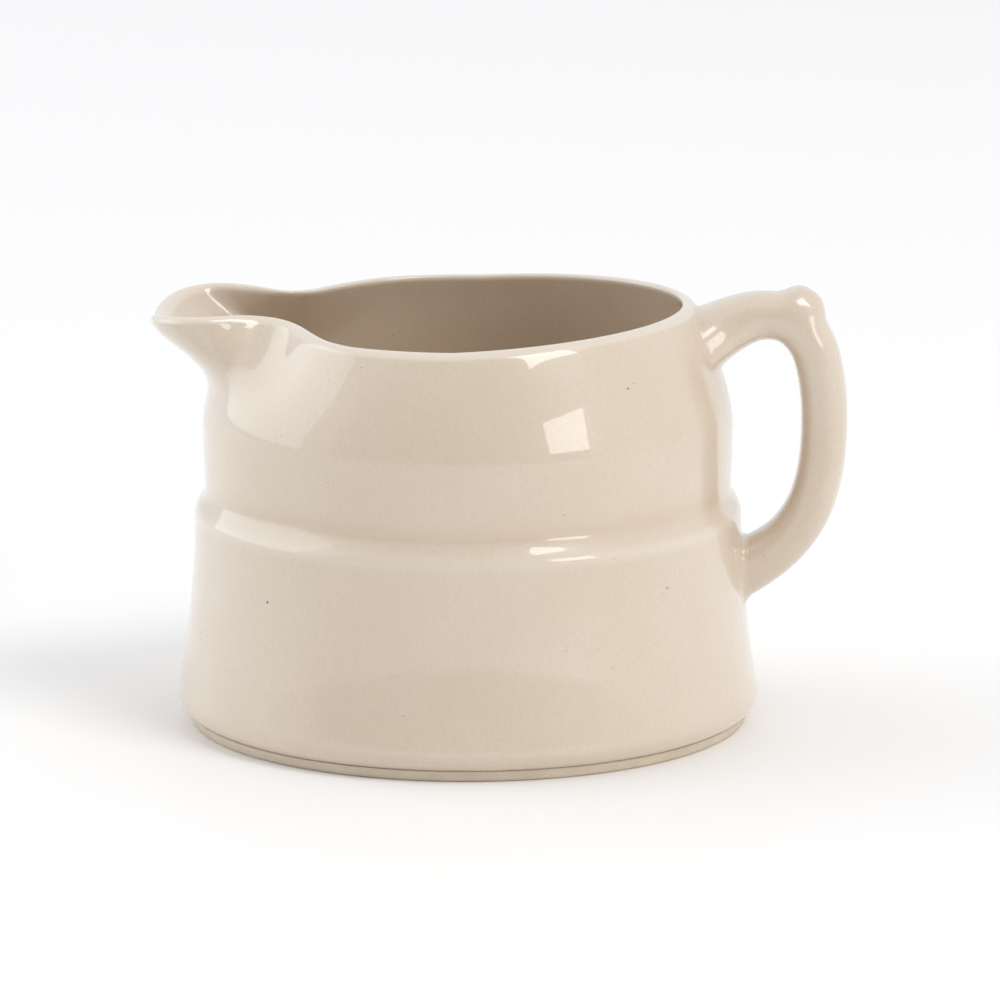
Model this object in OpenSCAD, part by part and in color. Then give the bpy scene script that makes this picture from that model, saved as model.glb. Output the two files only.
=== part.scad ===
// Cream jug of glazed porcelain, about 300 ml: a domed, beehive-shaped bowl with a moulded ridge,
// a pulled and pinched lip at -X, a strap handle with a thumb rest at +X, and an unglazed foot ring.
// Units are millimetres. The origin is the middle of the foot, on the surface that it stands on.

/* [Body] */
// Height of the rim above the table
rim_height = 69; // [66:0.5:72]
// Outer radius of the mouth
rim_radius = 37.6; // [36.8:0.1:38.4]
// Greatest outer radius of the dome
dome_radius = 44.4; // [43.5:0.1:45]
// Outer radius of the moulded ridge
ridge_radius = 45.9; // [45.4:0.1:46.5]
// Height of the moulded ridge
ridge_height = 36; // [34:0.5:38]
// Outer radius of the skirt just above the foot
base_radius = 49; // [48:0.5:50]

/* [Wall] */
// Thickness of the cast wall
wall = 3.2; // [2.8:0.1:3.6]
// Thickness of the rounded rim
rim_thickness = 2.4; // [2:0.1:2.8]
// Thickness of the floor of the bowl
floor_thickness = 4; // [3:0.5:5]

/* [Lip] */
// How far the tip of the lip reaches past the mouth
lip_reach = 15; // [14:0.5:16]
// Height of the body at which the lip begins to leave the dome
lip_root = 53.5; // [52.5:0.5:54.5]

/* [Handle] */
// Width of the strap of the handle
strap_width = 11; // [9:0.5:13]
// Thickness of the strap of the handle
strap_thickness = 7.8; // [6.5:0.1:8.5]
// Height that the thumb rest stands above the strap
thumb_rise = 2.2; // [1.5:0.1:3]

/* [Foot] */
// Outer radius of the foot ring
foot_radius = 47; // [46:0.5:48]
// Width of the foot ring
foot_width = 5; // [4:0.5:6]
// Height of the foot ring
foot_height = 1.6; // [1.2:0.1:2]

/* [Hidden] */

glaze_colour = "#e6dacb";
bare_clay_colour = "#d8c3a5";

rim_round = rim_thickness / 2;
shoulder_height = 51.5;
dome_curve = 1.5;
skirt_curve = 1.7;
skirt_top = ridge_height - 2;
groove_height = ridge_height + 4;
groove_radius = dome_radius - 0.3;
heel_round = 3.4;
inner_corner = 9;
mouth_clearance = 10;

// ---- Outline of the bowl ----

// Outer radius of the dome at a height above the shoulder
function dome_r(z) =
    let (up = max(0, (z - shoulder_height) / (rim_height - shoulder_height)))
    dome_radius - (dome_radius - rim_radius) * pow(up, dome_curve);

// Outer radius of the skirt at a height between the foot and the ridge
function skirt_r(z) =
    let (down = (skirt_top - z) / (skirt_top - foot_height - heel_round))
    ridge_radius + (base_radius - ridge_radius) * pow(down, skirt_curve);

// Smooth step from 0 to 1, level at both ends
function ease(t) = let (c = min(1, max(0, t))) c * c * (3 - 2 * c);

// Depth of the inner face behind the outer one, which tapers to the rim
function inner_depth(z) = wall + (rim_thickness - wall) * ease((z - lip_root) / (rim_height - lip_root));

// Heel: a quarter round from the foot ring out to the skirt
heel = [for (a = [-90 : 15 : 0])
    [base_radius - heel_round + heel_round * cos(a), foot_height + heel_round + heel_round * sin(a)]];
skirt = [for (i = [1 : 8])
    let (z = foot_height + heel_round + (skirt_top - foot_height - heel_round) * i / 8) [skirt_r(z), z]];
ridge = [for (i = [1 : 8])
    let (z = skirt_top + (groove_height - skirt_top) * i / 8)
    [ridge_radius + (groove_radius - ridge_radius) * ease((i / 8 - 0.25) / 0.75), z]];
waist = [[dome_radius - 0.15, groove_height + 3], [dome_radius, groove_height + 7],
         [dome_radius, shoulder_height]];

// The top of the wall as [depth behind the outer face, height]: up the outside, over the rim and down again
crown_height = rim_height - rim_round;
wall_top_outside = [for (i = [0 : 10]) [0, lip_root + (crown_height - lip_root) * i / 10]];
wall_top_rim = [for (a = [150 : -30 : 30])
    [rim_round - rim_round * cos(180 - a), crown_height + rim_round * sin(a)]];
wall_top_inside = [for (i = [10 : -1 : 0])
    let (z = lip_root + (crown_height - lip_root) * i / 10) [inner_depth(z), z]];
wall_top = concat(wall_top_outside, wall_top_rim, wall_top_inside);

// Inner face below the lip, down to a rounded corner and the middle of the floor
floor_height = foot_height + floor_thickness;
inner_foot_radius = skirt_r(floor_height + inner_corner) - wall;
inside = concat(
    [for (i = [len(waist) - 1 : -1 : 0]) [waist[i][0] - wall, waist[i][1]]],
    [for (i = [len(ridge) - 1 : -1 : 0]) [ridge[i][0] - wall, ridge[i][1]]],
    [for (i = [len(skirt) - 1 : -1 : 3]) [skirt[i][0] - wall, skirt[i][1]]],
    [for (a = [0 : -15 : -90])
        [inner_foot_radius - inner_corner + inner_corner * cos(a),
         floor_height + inner_corner + inner_corner * sin(a)]],
    [[0, floor_height]]);

outside = concat(heel, skirt, ridge, waist);
bowl_outline = concat([[0, foot_height]], outside,
    [for (p = wall_top) [dome_r(p[1]) - p[0], p[1]]], inside);
// The bowl as a filled form, carried on above its mouth so that nothing overhangs the opening
solid_outline = concat([[0, foot_height]], outside,
    [for (p = wall_top) if (p[0] <= rim_round) [dome_r(p[1]) - p[0], p[1]]],
    [[rim_radius - rim_round, rim_height + mouth_clearance], [0, rim_height + mouth_clearance]]);

// ---- Lip ----

lip_half_angle = 60;
lip_steps = 10;
lip_stations = 30;
lip_curve = 1.9;
floor_lag = 1.2;
// Half the outline of the lip as [reach from the axis, half width, rise of the edge], from the tip
// past the pinched throat to the round of the rim
lip_tip = rim_radius + lip_reach;
lip_outline = [[lip_tip, 0, -0.6], [lip_tip - 0.2, 6.2, 0.3], [lip_tip - 2.2, 12.9, 1.1],
               [lip_tip - 6.4, 16.8, 1.5], [rim_radius + 3.7, 16.8, 1.7], [rim_radius - 1.6, 14.4, 1.6],
               [rim_radius - 5.7, 13.5, 1.1], [rim_radius - 9.1, 16.7, 0.7],
               [rim_radius - 11.8, 22.2, 0.4], [rim_radius - 14.9, 27.9, 0.1]];

// A point on a circle about the axis, at an angle from the middle of the lip
function on_circle(angle, r) = [-r * cos(angle), r * sin(angle), 0];

// How far each point of the rim is drawn out to make the lip
lip_pull = [for (i = [0 : lip_steps])
    i == lip_steps
        ? [0, 0, 0]
        : [-lip_outline[i][0], lip_outline[i][1], lip_outline[i][2]]
            - on_circle(i * lip_half_angle / lip_steps, rim_radius)];

function pull_at(i) =
    i > lip_steps ? [0, 0, 0]
    : i < 0 ? [lip_pull[-i][0], -lip_pull[-i][1], lip_pull[-i][2]]
    : lip_pull[i];

// Smooth curve through four neighbouring points, at t from 0 to 1 between the middle two
function smooth_between(a, b, c, d, t) =
    0.5 * (2 * b + (c - a) * t + (2 * a - 5 * b + 4 * c - d) * t * t + (3 * b - a - 3 * c + d) * t * t * t);

// The pull at u, which runs from -1 to 1 across the lip
function pull(u) =
    let (s = min(abs(u), 1.2) * lip_steps, i = floor(s),
         p = smooth_between(pull_at(i - 1), pull_at(i), pull_at(i + 1), pull_at(i + 2), s - i))
    u < 0 ? [p[0], -p[1], p[2]] : p;

// A point of the outer face of the lip, and of the wall around it
function lip_face(u, z, lag) =
    on_circle(u * lip_half_angle, dome_r(z)) + [0, 0, z]
        + pull(u) * pow(ease((z - lag - lip_root) / (rim_height - lip_root)), lip_curve);

// The way inward, square to the face in plan
function lip_inward(u, z, lag) =
    let (run = lip_face(u + 0.01, z, lag) - lip_face(u - 0.01, z, lag), size = norm([run[0], run[1]]))
    abs(u) > 0.999 ? -on_circle(u * lip_half_angle, 1) : [run[1], -run[0], 0] / size;

function lip_point(u, depth, z) =
    let (lag = floor_lag * depth / wall)
    lip_face(u, z, lag) + depth * lip_inward(u, z, lag);

lip_rings = [for (i = [-lip_stations : lip_stations])
    let (u = i / lip_stations) [for (p = wall_top) lip_point(u, p[0], p[1])]];

// ---- Handle ----

ring_sides = 24;
steps_per_span = 3;
// Middle line of the strap as [distance from the axis, height, thickness, width], from the rim down
strap_line = [[33.5, 60.5, 1.4 * strap_thickness, strap_width + 11],
              [38.4, 64.2, 1.36 * strap_thickness, strap_width + 9],
              [43.4, 67.2, 1.16 * strap_thickness, strap_width + 3],
              [48.5, 69, 1.02 * strap_thickness, strap_width + 0.4],
              [53.6, 68.4, strap_thickness, strap_width],
              [57.4, 64.6, strap_thickness, strap_width],
              [59.2, 58.4, strap_thickness, strap_width],
              [59.7, 51, strap_thickness, strap_width],
              [59.1, 43.2, strap_thickness, strap_width],
              [57.2, 36.6, strap_thickness, strap_width],
              [53.8, 31.4, 1.03 * strap_thickness, strap_width],
              [49.4, 27.8, 1.12 * strap_thickness, strap_width + 0.4],
              [44, 25, 1.25 * strap_thickness, strap_width + 1],
              [39, 23, 1.3 * strap_thickness, strap_width + 1]];
spans = len(strap_line) - 3;

// The strap at a place t along its middle line, counted in spans
function strap_at(t) =
    let (i = min(floor(t), spans - 1) + 1)
    smooth_between(strap_line[i - 1], strap_line[i], strap_line[i + 1], strap_line[i + 2], t - i + 1);

// Soft-cornered oval about a place on the strap, larger all round by the margin
function strap_ring(t, margin) =
    let (s = strap_at(t), run = strap_at(min(t + 0.02, spans)) - strap_at(max(t - 0.02, 0)),
         size = norm([run[0], run[1]]), out = [-run[1], run[0]] / size)
    [for (k = [0 : ring_sides - 1])
        let (a = -360 * k / ring_sides,
             h = (s[2] / 2 + margin) * sign(cos(a)) * pow(abs(cos(a)), 0.8),
             w = (s[3] / 2 + margin) * sign(sin(a)) * pow(abs(sin(a)), 0.8))
        [s[0] + h * out[0], w, s[1] + h * out[1]]];

upper_joint_end = 0.9;
lower_joint_start = spans - 1.3;
joint_swell = 1.4;
joint_edge = 0.25;

// ---- Shapes ----

// Solid skin over a row of closed rings that all have the same number of points
module loft(rings) {
    n = len(rings[0]);
    last = len(rings) - 1;
    polyhedron(
        points = [for (ring = rings) for (p = ring) p],
        faces = concat(
            [[for (k = [0 : n - 1]) k]],
            [for (j = [0 : last - 1]) for (k = [0 : n - 1])
                let (m = (k + 1) % n) each [[j * n + k, (j + 1) * n + k, (j + 1) * n + m],
                                            [j * n + k, (j + 1) * n + m, j * n + m]]],
            [[for (k = [n - 1 : -1 : 0]) last * n + k]]),
        convexity = 10);
}

module solid_bowl() {
    rotate_extrude($fn = 128) polygon(solid_outline);
}

module strap() {
    loft([for (i = [0 : spans * steps_per_span]) strap_ring(i / steps_per_span, 0)]);
}

// The wall is cut away where the lip takes its place
module lip_gap() {
    far = 2 * base_radius;
    translate([0, 0, lip_root])
        linear_extrude(rim_height)
            polygon([[0, 0],
                     [-far * cos(lip_half_angle), far * sin(lip_half_angle)],
                     [-far * cos(lip_half_angle), -far * sin(lip_half_angle)]]);
}

// ---- Pieces ----

// Cast bowl: dome, ridge, skirt and floor in one wall
module jug_body() {
    color(glaze_colour)
    difference() {
        rotate_extrude($fn = 128) polygon(bowl_outline);
        lip_gap();
    }
}

// Bare ring that the jug stands on
module foot_ring() {
    chamfer = 0.5;
    inner = foot_radius - foot_width;
    color(bare_clay_colour)
    rotate_extrude($fn = 128)
        polygon([[inner, foot_height], [inner, chamfer], [inner + chamfer, 0],
                 [foot_radius - 2 * chamfer, 0], [foot_radius - 0.4 * chamfer, chamfer],
                 [foot_radius, foot_height]]);
}

// Scoop drawn out of the rim past a pinched throat, with the wall of the bowl carried on round it
module pouring_lip() {
    color(glaze_colour)
    loft(lip_rings);
}

// Strap from the rim, up over the fingers and down to the skirt
module handle() {
    color(glaze_colour)
    difference() {
        strap();
        solid_bowl();
    }
}

// Rounded point on the outer corner of the strap, for the thumb
module thumb_rest() {
    ball = 2.6;
    top = strap_at(3.2)[1] + strap_thickness / 2 + thumb_rise;
    spread = strap_width / 2 - ball - 1;
    color(glaze_colour)
    difference() {
        hull()
            for (side = [-1, 1]) {
                translate([51, side * spread, 69.8]) sphere(ball, $fn = 24);
                translate([56, side * spread * 0.6, top - ball]) sphere(ball, $fn = 24);
                translate([58, side * spread, 66.5]) sphere(ball, $fn = 24);
            }
        strap();
    }
}

// Fillet of slip between a piece of the strap and the bowl, fullest at the bowl
module slip_fillet(first, last, swell_first, swell_last) {
    steps = 6;
    difference() {
        loft([for (i = [0 : steps])
            strap_ring(first + (last - first) * i / steps,
                       swell_first + (swell_last - swell_first) * ease(i / steps))]);
        strap();
        solid_bowl();
    }
}

module upper_handle_joint() {
    color(glaze_colour)
    slip_fillet(0.3, upper_joint_end, joint_swell, joint_edge);
}

module lower_handle_joint() {
    color(glaze_colour)
    slip_fillet(lower_joint_start, spans - 0.2, joint_edge, joint_swell);
}

jug_body();
foot_ring();
pouring_lip();
handle();
thumb_rest();
upper_handle_joint();
lower_handle_joint();
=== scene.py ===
import math

import bmesh
import bpy
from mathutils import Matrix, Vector, noise
from mathutils.bvhtree import BVHTree


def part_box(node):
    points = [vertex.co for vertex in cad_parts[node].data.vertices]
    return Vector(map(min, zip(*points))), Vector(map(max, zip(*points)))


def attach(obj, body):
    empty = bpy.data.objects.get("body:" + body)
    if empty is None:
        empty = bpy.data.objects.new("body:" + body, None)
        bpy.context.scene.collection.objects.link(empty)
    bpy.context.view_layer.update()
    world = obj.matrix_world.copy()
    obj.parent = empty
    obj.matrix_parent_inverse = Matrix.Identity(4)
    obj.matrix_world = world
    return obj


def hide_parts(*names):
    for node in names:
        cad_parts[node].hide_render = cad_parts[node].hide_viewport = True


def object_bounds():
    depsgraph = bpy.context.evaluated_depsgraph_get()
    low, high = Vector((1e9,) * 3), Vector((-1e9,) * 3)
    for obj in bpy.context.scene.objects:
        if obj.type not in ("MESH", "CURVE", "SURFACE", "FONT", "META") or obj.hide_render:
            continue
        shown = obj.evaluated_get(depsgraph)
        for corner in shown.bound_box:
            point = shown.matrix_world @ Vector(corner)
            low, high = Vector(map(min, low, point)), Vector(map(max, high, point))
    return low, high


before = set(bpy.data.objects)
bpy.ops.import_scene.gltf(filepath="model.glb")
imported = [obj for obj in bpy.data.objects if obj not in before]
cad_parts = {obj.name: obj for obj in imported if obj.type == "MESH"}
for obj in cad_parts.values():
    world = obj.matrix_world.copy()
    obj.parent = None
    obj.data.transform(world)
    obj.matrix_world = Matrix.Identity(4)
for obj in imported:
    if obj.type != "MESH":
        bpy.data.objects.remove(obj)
cad_low, cad_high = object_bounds()

# ---- Table and light ----
# The jug stands on a plain pale table in a white room, with the darker end of the room in front.
# Two soft boxes hang at the front right, and a sheet of white paper fills in from the left.

jug_middle = (cad_low + cad_high) / 2


def around_jug(azimuth, elevation, distance):
    a, e = math.radians(azimuth), math.radians(elevation)
    away = Vector((math.sin(a) * math.cos(e), -math.cos(a) * math.cos(e), math.sin(e)))
    return jug_middle + away * distance


def aim_at_jug(thing):
    towards = jug_middle - thing.location
    thing.rotation_euler = towards.to_track_quat("-Z", "Y").to_euler()
    bpy.context.scene.collection.objects.link(thing)


def soft_box(name, place, width, height, radiance, colour):
    light = bpy.data.lights.new(name, "AREA")
    light.shape = "RECTANGLE"
    light.size = width
    light.size_y = height
    light.energy = radiance * math.pi * width * height
    light.color = colour
    lamp = bpy.data.objects.new(name, light)
    lamp.location = place
    aim_at_jug(lamp)


soft_box("upper_soft_box", around_jug(50, 53, 2.5), 1.0, 0.9, 6.0, (1.0, 0.985, 0.96))
soft_box("lower_soft_box", around_jug(48, 17, 2.5), 0.8, 0.7, 4.5, (1.0, 0.985, 0.96))
soft_box("paper_fill", around_jug(-100, 24, 2.2), 2.4, 1.8, 1.1, (0.93, 0.96, 1.0))

world = bpy.data.worlds.new("white_room")
world.use_nodes = True
air = world.node_tree
look = air.nodes.new("ShaderNodeTexCoord")
axes = air.nodes.new("ShaderNodeSeparateXYZ")
air.links.new(look.outputs["Generated"], axes.inputs["Vector"])
room_end = air.nodes.new("ShaderNodeMapRange")
room_end.interpolation_type = "SMOOTHSTEP"
room_end.inputs["From Min"].default_value = -0.60
room_end.inputs["From Max"].default_value = -0.46
room_end.inputs["To Min"].default_value = 0.36
room_end.inputs["To Max"].default_value = 0.88
air.links.new(axes.outputs["Y"], room_end.inputs["Value"])
air.links.new(room_end.outputs["Result"], air.nodes["Background"].inputs["Strength"])
air.nodes["Background"].inputs["Color"].default_value = (0.97, 0.98, 1.0, 1)
bpy.context.scene.world = world
bpy.context.scene.view_settings.view_transform = "Standard"

camera = bpy.data.objects.new("camera", bpy.data.cameras.new("camera"))
camera.data.lens = 240
camera.data.clip_start = 0.1
camera.location = around_jug(3.4, 12, 1.12)
aim_at_jug(camera)
bpy.context.scene.camera = camera

table_half = 3.0
bm = bmesh.new()
bmesh.ops.create_grid(bm, x_segments=1, y_segments=1, size=table_half)
table_mesh = bpy.data.meshes.new("table_top")
bm.to_mesh(table_mesh)
bm.free()
table_top = bpy.data.objects.new("table_top", table_mesh)
table_paint = bpy.data.materials.new("table_paint")
table_paint.use_nodes = True
paint_shader = table_paint.node_tree.nodes["Principled BSDF"]
paint_shader.inputs["Base Color"].default_value = (0.95, 0.945, 0.94, 1)
paint_shader.inputs["Roughness"].default_value = 0.6
table_mesh.materials.append(table_paint)
bpy.context.scene.collection.objects.link(table_top)

# ---- Bowl ----
# The bowl and its pouring lip are one wall of porcelain, cast in a plaster mould, with the lip pinched
# out of the rim and the edge sponged round. A clear glossy glaze covers it, faintly sandy with a few
# brown iron specks. Edges are painted paler, partly thin glaze and partly a painted highlight; hollows
# and the whole inside are painted darker and warmer, partly pooled glaze and partly painted shade.

# The wall is drawn as one line of points (radius, height, glaze depth) and spun round the axis. The
# glaze depth runs from -1, painted pale on an edge (thin glaze and painted highlight), to 1, painted
# dark and warm in a hollow (pooled glaze and painted shade).

MM = 0.001


def new_node(tree, kind, **settings):
    node = tree.nodes.new(kind)
    for name, value in settings.items():
        setattr(node, name, value)
    return node


def set_inputs(node, **values):
    for name, value in values.items():
        node.inputs[name.replace("_", " ")].default_value = value
    return node


def object_noise(tree, size, detail, roughness=0.5):
    place = new_node(tree, "ShaderNodeTexCoord")
    grain = new_node(tree, "ShaderNodeTexNoise")
    set_inputs(grain, Scale=1 / size, Detail=detail, Roughness=roughness)
    tree.links.new(place.outputs["Object"], grain.inputs["Vector"])
    return grain.outputs["Fac"]


def remap(tree, value, low, high, to_low, to_high):
    node = new_node(tree, "ShaderNodeMapRange", interpolation_type="SMOOTHSTEP")
    for socket, number in zip(("From Min", "From Max", "To Min", "To Max"), (low, high, to_low, to_high)):
        node.inputs[socket].default_value = number
    tree.links.new(value, node.inputs["Value"])
    return node.outputs["Result"]


def blend_colour(tree, amount, first, second):
    node = new_node(tree, "ShaderNodeMix", data_type="RGBA")
    tree.links.new(amount, node.inputs["Factor"])
    for socket, colour in (("A", first), ("B", second)):
        inputs = [i for i in node.inputs if i.name == socket and i.type == "RGBA"]
        if isinstance(colour, tuple):
            inputs[0].default_value = (*colour, 1)
        else:
            tree.links.new(colour, inputs[0])
    return [o for o in node.outputs if o.type == "RGBA"][0]


def speck_mask(tree, spacing, radius, share):
    place = new_node(tree, "ShaderNodeTexCoord")
    cells = new_node(tree, "ShaderNodeTexVoronoi")
    set_inputs(cells, Scale=1 / spacing, Randomness=1.0)
    tree.links.new(place.outputs["Object"], cells.inputs["Vector"])
    near = remap(tree, cells.outputs["Distance"], 0.4 * radius / spacing, radius / spacing, 1.0, 0.0)
    split = new_node(tree, "ShaderNodeSeparateColor")
    tree.links.new(cells.outputs["Color"], split.inputs["Color"])
    chosen = new_node(tree, "ShaderNodeMath", operation="LESS_THAN")
    chosen.inputs[1].default_value = share
    tree.links.new(split.outputs["Red"], chosen.inputs[0])
    both = new_node(tree, "ShaderNodeMath", operation="MULTIPLY")
    tree.links.new(near, both.inputs[0])
    tree.links.new(chosen.outputs["Value"], both.inputs[1])
    return both.outputs["Value"]


def glaze_material():
    material = bpy.data.materials.new("cream_glaze")
    material.use_nodes = True
    tree = material.node_tree
    shader = tree.nodes["Principled BSDF"]

    cloud = remap(tree, object_noise(tree, 22 * MM, 2), 0.3, 0.7, 0.0, 1.0)
    body = blend_colour(tree, cloud, (0.685, 0.575, 0.455), (0.705, 0.60, 0.48))
    sand = remap(tree, object_noise(tree, 0.55 * MM, 2, 0.6), 0.38, 0.70, 0.0, 0.26)
    body = blend_colour(tree, sand, body, (0.60, 0.475, 0.345))
    depth = new_node(tree, "ShaderNodeAttribute", attribute_name="glaze_depth_and_painted_light").outputs["Fac"]
    # Painted highlight: edges are made paler, partly as thin pale glaze.
    thin_glaze_and_highlight = remap(tree, depth, -1.0, 0.0, 0.55, 0.0)
    body = blend_colour(tree, thin_glaze_and_highlight, body, (0.80, 0.72, 0.62))
    # Painted shade: hollows and the inside are made darker and warmer, partly as pooled glaze.
    pooled_glaze_and_shade = remap(tree, depth, 0.0, 1.0, 0.0, 0.5)
    body = blend_colour(tree, pooled_glaze_and_shade, body, (0.62, 0.49, 0.34))
    small_specks = speck_mask(tree, 2.6 * MM, 0.16 * MM, 0.25)
    body = blend_colour(tree, small_specks, body, (0.36, 0.25, 0.16))
    iron_specks = speck_mask(tree, 6.5 * MM, 0.36 * MM, 0.35)
    body = blend_colour(tree, iron_specks, body, (0.17, 0.11, 0.075))
    tree.links.new(body, shader.inputs["Base Color"])

    gloss = remap(tree, object_noise(tree, 7 * MM, 3), 0.3, 0.7, 0.30, 0.40)
    tree.links.new(gloss, shader.inputs["Roughness"])
    set_inputs(shader, IOR=1.5, Coat_Weight=1.0, Coat_Roughness=0.035, Coat_IOR=1.52)

    ripple = new_node(tree, "ShaderNodeBump")
    set_inputs(ripple, Strength=0.35, Distance=0.05 * MM)
    tree.links.new(object_noise(tree, 6 * MM, 2), ripple.inputs["Height"])
    pits = new_node(tree, "ShaderNodeBump")
    set_inputs(pits, Strength=0.25, Distance=0.02 * MM)
    tree.links.new(object_noise(tree, 0.8 * MM, 1), pits.inputs["Height"])
    tree.links.new(ripple.outputs["Normal"], pits.inputs["Normal"])
    tree.links.new(pits.outputs["Normal"], shader.inputs["Normal"])
    tree.links.new(ripple.outputs["Normal"], shader.inputs["Coat Normal"])
    return material


glaze = glaze_material()

body_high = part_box("jug_body")[1]
foot_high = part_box("foot_ring")[1]
rim_height = body_high.z
rim_radius = 37.6 * MM
dome_radius = 44.4 * MM
dome_curve = 1.5
shoulder_height = 51.5 * MM
ridge_radius = 45.9 * MM
ridge_height = 36 * MM
groove_height = ridge_height + 4 * MM
groove_radius = dome_radius - 0.3 * MM
skirt_top = ridge_height - 2 * MM
skirt_curve = 1.7
base_radius = body_high.y
heel_round = 3.4 * MM
foot_height = foot_high.z
wall = 3.2 * MM
rim_thickness = 2.4 * MM
rim_round = rim_thickness / 2
floor_height = foot_height + 4 * MM
inner_corner = 9 * MM
rim_climb = 2.0 * MM  # how much higher the rim stands at the handle
# Painted warm shade all over the inside, carried by the glaze depth.
inside_shade_depth = 0.45  # glaze_depth_and_painted_light all over the inside
turns = 216

lip_half_angle = math.radians(66)
lip_root = 53.5 * MM
lip_curve = 1.9
floor_lag = 1.2 * MM  # how much later the inner face starts to be drawn out
wall_top_start = lip_root - 4 * MM
lip_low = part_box("pouring_lip")[0]
tip = -lip_low.x / MM - 0.2  # the crest stands just behind the farthest point
rim = rim_radius / MM
# Half the edge of the lip as (reach from the axis, half width, rise) in millimetres, from the tip
# past the pinched throat to the round of the rim, at even steps of the lip's half angle
lip_edge = [
    (tip, 0, -0.6), (tip - 0.2, 6.2, 0.3), (tip - 2.2, 12.9, 1.1), (tip - 6.4, 16.8, 1.5),
    (rim + 3.7, 16.8, 1.7), (rim - 1.6, 14.4, 1.6), (rim - 5.7, 13.5, 1.1), (rim - 9.1, 16.7, 0.7),
    (rim - 11.8, 22.2, 0.4), (rim - 14.9, 27.9, 0.1), (rim - 18.97, 32.26, 0),
]


def ease(t):
    t = min(1.0, max(0.0, t))
    return t * t * (3 - 2 * t)


def dome_r(z):
    up = max(0.0, (z - shoulder_height) / (rim_height - shoulder_height))
    return dome_radius - (dome_radius - rim_radius) * up**dome_curve


def skirt_r(z):
    down = (skirt_top - z) / (skirt_top - foot_height - heel_round)
    return ridge_radius + (base_radius - ridge_radius) * max(0.0, down) ** skirt_curve


def spaced(low, high, count):
    return [low + (high - low) * i / count for i in range(count + 1)]


def outer_wall():
    points = []
    for a in spaced(-90, 0, 8):
        turn = math.radians(a)
        points.append((base_radius - heel_round + heel_round * math.cos(turn),
                       foot_height + heel_round + heel_round * math.sin(turn), 0.0))
    for z in spaced(foot_height + heel_round, skirt_top, 10)[1:]:
        points.append((skirt_r(z), z, 0.0))
    for t in spaced(0, 1, 12)[1:]:
        z = skirt_top + (groove_height - skirt_top) * t
        step = ease((t - 0.25) / 0.75)
        # Painted highlight on the ridge crest, partly thin glaze, and painted shade in the groove above
        # it, partly pooled glaze, fading up the dome.
        depth = -0.8 * (1 - abs(t - 0.35) / 0.35) if t < 0.7 else 0.9 * (t - 0.7) / 0.3
        points.append((ridge_radius + (groove_radius - ridge_radius) * step, z, depth))
    points.append((dome_radius - 0.2 * MM, groove_height + 2.2 * MM, 0.3))
    points.append((dome_radius - 0.05 * MM, groove_height + 5 * MM, 0.0))
    return points


def wall_top():
    crown = rim_height - rim_round
    points = [(dome_r(z), z, 0.0) for z in spaced(wall_top_start, crown, 16)]
    # Round the rim the colour is painted paler: a painted highlight, partly thin glaze.
    for a in spaced(180, 0, 8)[1:-1]:
        turn = math.radians(a)
        z = crown + rim_round * math.sin(turn)
        points.append((dome_r(z) - rim_round - rim_round * math.cos(turn), z, -1.0))
    for z in reversed(spaced(wall_top_start, crown, 14)):
        thinning = ease((z - lip_root) / (rim_height - lip_root))
        inner_r = dome_r(z) - wall + (wall - rim_thickness) * thinning
        points.append((inner_r, z, inside_shade_depth * (1 - thinning)))
    return points


def inner_wall():
    points = []
    for z in (46 * MM, 42 * MM, 39 * MM, 36.5 * MM, 34 * MM, 30 * MM, 24 * MM, 19 * MM):
        outside = skirt_r(z) if z < skirt_top else groove_radius + (ridge_radius - groove_radius) * ease(
            (groove_height + 1 * MM - z) / (6 * MM))
        points.append((outside - wall, z, inside_shade_depth))
    corner_radius = skirt_r(floor_height + inner_corner) - wall
    # The corner of the inside floor is painted darker still: painted shade, partly pooled glaze.
    for a in spaced(0, -90, 8):
        turn = math.radians(a)
        points.append((corner_radius - inner_corner + inner_corner * math.cos(turn),
                       floor_height + inner_corner + inner_corner * math.sin(turn),
                       inside_shade_depth + 0.3 * math.sin(-turn)))
    for r in (26 * MM, 16 * MM, 7 * MM, 2.5 * MM, 0):
        points.append((r, floor_height, inside_shade_depth))
    return points


def smooth_between(a, b, c, d, t):
    """A smooth curve through b, at t = 0, and c, at t = 1, with a and d as their neighbours."""
    bend = 2 * a - 5 * b + 4 * c - d
    twist = 3 * b - a - 3 * c + d
    return 0.5 * (2 * b + (c - a) * t + bend * t * t + twist * t**3)


def on_circle(angle, r):
    return Vector((-r * math.cos(angle), r * math.sin(angle), 0))


def rim_pull():
    pulls = []
    for i, (reach, half_width, rise) in enumerate(lip_edge):
        edge = Vector((-reach, half_width, rise)) * MM
        pulls.append(edge - on_circle(i * lip_half_angle / len(lip_edge), rim_radius))
    return pulls + [Vector((0, 0, 0))] * 4


pulls = rim_pull()


def pull_at(i):
    return Vector((pulls[-i].x, -pulls[-i].y, pulls[-i].z)) if i < 0 else pulls[i]


def pull(u):
    s = min(abs(u), 1.1) * len(lip_edge)
    i = int(s)
    drawn = smooth_between(pull_at(i - 1), pull_at(i), pull_at(i + 1), pull_at(i + 2), s - i)
    return Vector((drawn.x, -drawn.y, drawn.z)) if u < 0 else drawn


def lip_face(u, z, lag):
    share = ease((z - lag - lip_root) / (rim_height - lip_root)) ** lip_curve
    return on_circle(u * lip_half_angle, dome_r(z)) + Vector((0, 0, z)) + pull(u) * share


def lip_point(u, depth, z):
    lag = floor_lag * depth / wall
    run = lip_face(u + 0.01, z, lag) - lip_face(u - 0.01, z, lag)
    inward = Vector((run.y, -run.x, 0)).normalized()
    return lip_face(u, z, lag) + inward * depth


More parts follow.
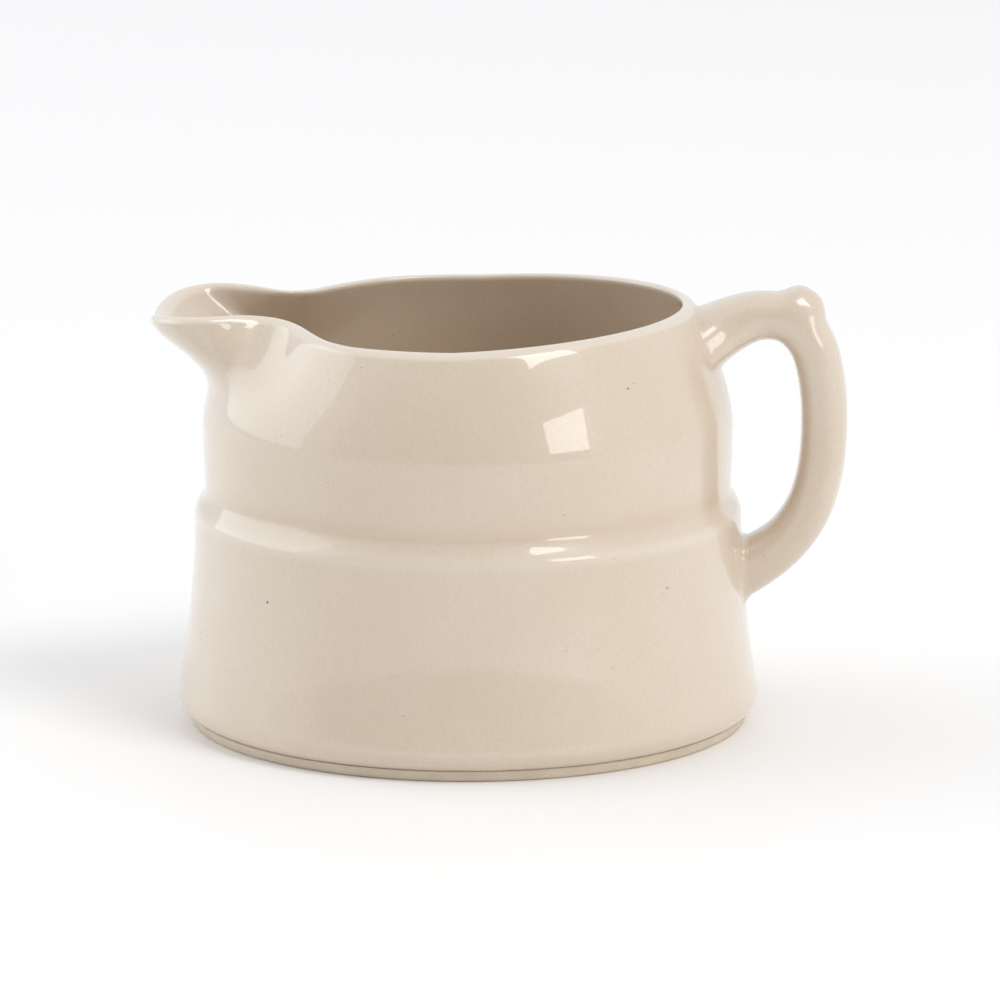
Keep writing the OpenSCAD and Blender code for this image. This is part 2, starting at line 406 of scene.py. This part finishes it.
def shaped(co):
    """Where a point of the plain spun bowl lies on the jug, with its lip and its climbing rim."""
    x, y, z = co
    r = math.hypot(x, y)
    angle = math.atan2(y, -x)
    if z > lip_root and abs(angle) < lip_half_angle:
        return lip_point(angle / lip_half_angle, dome_r(z) - r, z)
    climb = rim_climb * max(0.0, x / rim_radius) * ease((z - lip_root) / (rim_height - lip_root))
    return Vector((x, y, z + climb))


kiln_move = 0.10 * MM
kiln_waves = 28  # in a metre
kiln_seed = 1
noise.seed_set(kiln_seed)  # unseeded, the waves start from the clock and differ each run


def kiln_warp(co):
    """Ware moves a little in the fire: up to about a tenth of a millimetre, in slow waves."""
    return co + noise.noise_vector(co * kiln_waves) * kiln_move


def finish_piece(name, bm, material, levels=1):
    for face in bm.faces:
        face.smooth = True
    mesh = bpy.data.meshes.new(name)
    bm.to_mesh(mesh)
    bm.free()
    mesh.materials.append(material)
    piece = bpy.data.objects.new(name, mesh)
    bpy.context.scene.collection.objects.link(piece)
    if levels:
        smoother = piece.modifiers.new("smooth", "SUBSURF")
        smoother.levels = smoother.render_levels = levels
    return piece


def spun(profile, steps):
    bm = bmesh.new()
    depth = bm.verts.layers.float.new("glaze_depth_and_painted_light")
    line = []
    for r, z, glaze_depth_and_painted_light in profile:
        vert = bm.verts.new((r, 0, z))
        vert[depth] = glaze_depth_and_painted_light
        line.append(vert)
    edges = [bm.edges.new(pair) for pair in zip(line, line[1:])]
    bmesh.ops.spin(bm, geom=line + edges, cent=(0, 0, 0), axis=(0, 0, 1), dvec=(0, 0, 0),
                   angle=math.tau, steps=steps, use_merge=True, use_duplicate=False)
    bmesh.ops.remove_doubles(bm, verts=bm.verts, dist=0.001 * MM)
    bmesh.ops.recalc_face_normals(bm, faces=bm.faces)
    return bm


under_rise = 0.5 * MM
# Towards the foot ring the glaze depth rises: painted shade in the corner, partly pooled glaze.
underside = [(0, foot_height + under_rise, 0.0), (8 * MM, foot_height + under_rise, 0.0),
             (24 * MM, foot_height + 0.35 * MM, 0.0), (38 * MM, foot_height + 0.1 * MM, 0.1),
             (41.5 * MM, foot_height, 0.4)]
bm = spun(underside + outer_wall() + wall_top() + inner_wall(), turns)
for vert in bm.verts:
    vert.co = kiln_warp(shaped(vert.co))
bowl_surface = BVHTree.FromBMesh(bm)
bowl = finish_piece("bowl", bm, glaze)
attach(bowl, "root")
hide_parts("jug_body", "pouring_lip")

# ---- Handle ----
# The handle is a pressed strap with a flat inner face and a crowned back. It spreads where it leaves
# the rim, turns down over the fingers past a rounded thumb rest, and comes in to the skirt.

strap_sides = 48
strap_rings = 150
# Middle line as (reach, height, thickness, width) in millimetres, from the rim down to the skirt
strap_line = [
    (33.5, 60.5, 10.9, 22), (38.4, 64.2, 10.6, 20), (43.4, 67.2, 9.1, 14), (48.5, 69.0, 8.0, 11.4),
    (53.6, 68.4, 7.8, 11), (57.4, 64.6, 7.8, 11), (59.2, 58.4, 7.8, 11), (59.7, 51, 7.8, 11),
    (59.1, 43.2, 7.8, 11), (57.2, 36.6, 7.8, 11), (53.8, 31.4, 8.0, 11), (49.4, 27.8, 8.7, 11.4),
    (44, 25, 9.8, 12), (39, 23, 10.1, 12),
]
spans = len(strap_line) - 3
thumb_rise = 2.1 * MM
thumb_lean = 0.9 * MM


def strap_at(t):
    i = min(int(t), spans - 1) + 1
    four = [Vector(strap_line[k]) * MM for k in (i - 1, i, i + 1, i + 2)]
    return smooth_between(*four, t - i + 1)


def strap_point(t, a):
    """A point of the strap's skin: t runs along it in spans, and a goes round it from its back."""
    reach, height, thickness, width = strap_at(t)
    run = strap_at(min(t + 0.02, spans)) - strap_at(max(t - 0.02, 0))
    along = Vector((run[0], 0, run[1])).normalized()
    out = Vector((-along.z, 0, along.x))
    c, s = math.cos(a), math.sin(a)
    h = thickness / 2 * math.copysign(abs(c) ** (0.9 if c > 0 else 0.55), c)
    w = width / 2 * math.copysign(abs(s) ** 0.8, s)
    thumb = math.exp(-(((t - 3.2) / 0.5) ** 4)) * max(0.0, c) ** 1.6
    return Vector((reach + thumb_lean * thumb, w, height + thumb_rise * thumb)) + out * h


def leaves_bowl(a, t_inside, t_outside):
    """Where along the strap its skin at the angle a comes out of the bowl, found by halving."""
    for _ in range(24):
        t = (t_inside + t_outside) / 2
        point = strap_point(t, a)
        spot, normal, _, _ = bowl_surface.find_nearest(point)
        if (point - spot).dot(normal) > 0:
            t_outside = t
        else:
            t_inside = t
    return t_outside


def rolled_sheet(columns, rows):
    """A flat sheet whose columns go once round, and whose rows run from end to end."""
    bm = bmesh.new()
    bm.verts.layers.float.new("glaze_depth_and_painted_light")
    bmesh.ops.create_grid(bm, x_segments=columns, y_segments=rows, size=0.5)
    places = [(vert, vert.co.x + 0.5, vert.co.y + 0.5) for vert in bm.verts]
    return bm, places


def seal(bm):
    bmesh.ops.remove_doubles(bm, verts=bm.verts, dist=0.002 * MM)
    bmesh.ops.holes_fill(bm, edges=[edge for edge in bm.edges if edge.is_boundary], sides=0)
    bmesh.ops.recalc_face_normals(bm, faces=bm.faces)


buried = 0.08  # how far each end runs into the wall, in spans of the strap
strap_angles = [math.tau * k / strap_sides for k in range(strap_sides)]
upper_exit = [leaves_bowl(a, 0.1, 1.6) for a in strap_angles]
lower_exit = [leaves_bowl(a, spans - 0.15, spans - 1.9) for a in strap_angles]

bm, places = rolled_sheet(strap_sides, strap_rings)
for vert, around, along in places:
    k = round(around * strap_sides) % strap_sides
    first, last = upper_exit[k] - buried, lower_exit[k] + buried
    vert.co = kiln_warp(strap_point(first + (last - first) * along, strap_angles[k]))
seal(bm)
strap = finish_piece("handle_strap", bm, glaze)
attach(strap, "root")
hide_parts("handle", "thumb_rest")

# ---- Handle joints ----
# Both ends of the strap are stuck on with slip, and the seam is wiped to a small hollow fillet
# all round before glazing. The fillet is painted darker and warmer: partly glaze gathered in it,
# partly painted shade.

fillet_steps = 8  # across the hollow that shows
back_steps = 4  # round the back, inside the wall
bite = 0.9 * MM  # how deep the slip reaches into the corner
tuck = 0.5 * MM  # how far its two edges turn under


def slip_fillet(name, node, exits, outward, reach):
    edge = [strap_point(exits[k], strap_angles[k]) for k in range(strap_sides)]
    middle = sum(edge, Vector()) / strap_sides
    bm, places = rolled_sheet(strap_sides, fillet_steps + back_steps)
    depth = bm.verts.layers.float["glaze_depth_and_painted_light"]
    for vert, around, across in places:
        k = round(around * strap_sides) % strap_sides
        corner = edge[k]
        beside = edge[(k + 1) % strap_sides] - edge[k - 1]
        _, normal, _, _ = bowl_surface.find_nearest(corner)
        away = normal.cross(beside).normalized()
        if away.dot(corner - middle) < 0:
            away = -away
        size = reach(strap_angles[k])
        step = strap_point(exits[k] + 0.02 * outward, strap_angles[k]) - corner
        on_strap = strap_point(exits[k] + 0.02 * outward * size / step.length, strap_angles[k])
        on_bowl, bowl_normal, _, _ = bowl_surface.find_nearest(corner + away * size)
        inner = corner - normal * bite - away * bite
        t = across * (fillet_steps + back_steps) / fillet_steps
        if t <= 1:
            vert.co = on_strap * (1 - t) ** 2 + corner * 2 * t * (1 - t) + on_bowl * t * t
            # Painted shade across the fillet, strongest in its middle, partly pooled glaze.
            vert[depth] = 2.4 * t * (1 - t)
        else:
            back = (t - 1) * fillet_steps / back_steps
            low = on_bowl - bowl_normal * tuck
            path = [on_bowl, low, inner, on_strap - away * tuck, on_strap]
            vert.co = path[round(back * back_steps)]
    bmesh.ops.remove_doubles(bm, verts=bm.verts, dist=0.002 * MM)
    bmesh.ops.recalc_face_normals(bm, faces=bm.faces)
    for vert in bm.verts:
        vert.co = kiln_warp(vert.co)
    piece = finish_piece(name, bm, glaze)
    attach(piece, "root")
    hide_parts(node)


slip_fillet("upper_slip_fillet", "upper_handle_joint", upper_exit, 1,
            lambda a: (0.9 + 0.9 * (1 - math.cos(a)) / 2) * MM)
slip_fillet("lower_slip_fillet", "lower_handle_joint", lower_exit, -1, lambda a: 1.7 * MM)

# ---- Foot ring ----
# The ring that the jug stands on is wiped bare before firing, so the clay shows: fine, matt and
# a little darker than the glaze, worn smooth on the flat that touches the table.


def clay_material():
    material = bpy.data.materials.new("bare_clay")
    material.use_nodes = True
    tree = material.node_tree
    shader = tree.nodes["Principled BSDF"]
    cloud = remap(tree, object_noise(tree, 5 * MM, 4), 0.3, 0.7, 0.0, 1.0)
    clay = blend_colour(tree, cloud, (0.66, 0.56, 0.44), (0.71, 0.61, 0.49))
    grit = remap(tree, object_noise(tree, 0.4 * MM, 2, 0.7), 0.54, 0.72, 0.0, 0.35)
    clay = blend_colour(tree, grit, clay, (0.50, 0.39, 0.28))
    tree.links.new(clay, shader.inputs["Base Color"])
    gloss = remap(tree, object_noise(tree, 3 * MM, 3), 0.3, 0.7, 0.68, 0.9)
    tree.links.new(gloss, shader.inputs["Roughness"])
    tooth = new_node(tree, "ShaderNodeBump")
    set_inputs(tooth, Strength=0.5, Distance=0.06 * MM)
    tree.links.new(object_noise(tree, 0.35 * MM, 3, 0.7), tooth.inputs["Height"])
    tree.links.new(tooth.outputs["Normal"], shader.inputs["Normal"])
    return material


foot_radius = foot_high.y
foot_width = 5 * MM
foot_round = 0.5 * MM
foot_inner = foot_radius - foot_width
ring_profile = [(foot_inner, foot_height + 0.2 * MM, 0), (foot_inner, foot_round, 0)]
ring_profile += [(foot_inner + 0.15 * MM, 0.15 * MM, 0), (foot_inner + foot_round, 0, 0)]
ring_profile += [(foot_radius - 2 * foot_round, 0, 0), (foot_radius - 0.8 * foot_round, 0.12 * MM, 0)]
ring_profile += [(foot_radius - 0.4 * foot_round, foot_round, 0), (foot_radius, foot_height, 0)]
ring_profile += [(foot_radius, foot_height + 0.2 * MM, 0), (foot_inner, foot_height + 0.2 * MM, 0)]
bm = spun(ring_profile, turns)
foot = finish_piece("foot_ring_clay", bm, clay_material(), 0)
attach(foot, "root")
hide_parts("foot_ring")
